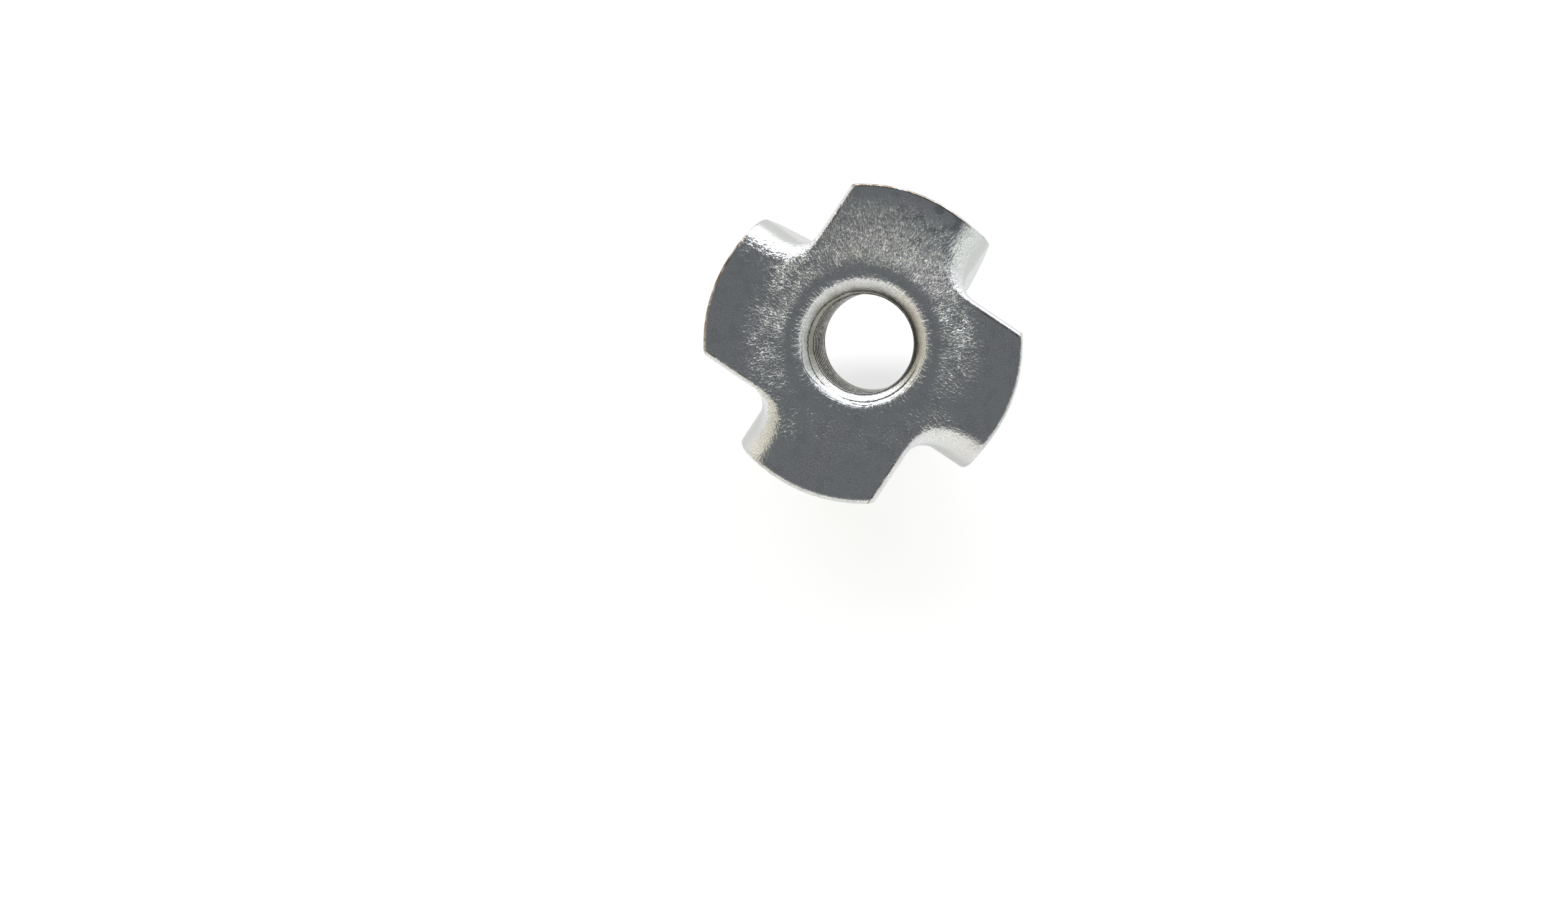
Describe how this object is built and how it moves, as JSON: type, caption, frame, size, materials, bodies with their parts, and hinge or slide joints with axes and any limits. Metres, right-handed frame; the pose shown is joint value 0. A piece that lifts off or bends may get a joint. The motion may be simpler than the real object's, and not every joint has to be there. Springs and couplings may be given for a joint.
{
  "type": "tee nut",
  "caption": "Tee nut pressed from sheet steel: a threaded barrel drawn from a round flange, with prongs folded down from the rim to grip the wood it is driven into.",
  "frame": {"origin": "on the thread's axis, in the plane of the flange's underside, which seats on the wood", "axes": "+Z out of the flange's open face along the thread's axis, so that the nut stands on its barrel's end; +X through the middle of one lobe's rim side, whose prong is on its -Y side; the other lobes follow by quarter turns about Z"},
  "size_m": [0.022, 0.022, 0.011],
  "materials": {
    "zinc": "bright zinc plating over steel"
  },
  "bodies": {
    "root": {"tee_nut": "zinc"}
  },
  "joints": []
}
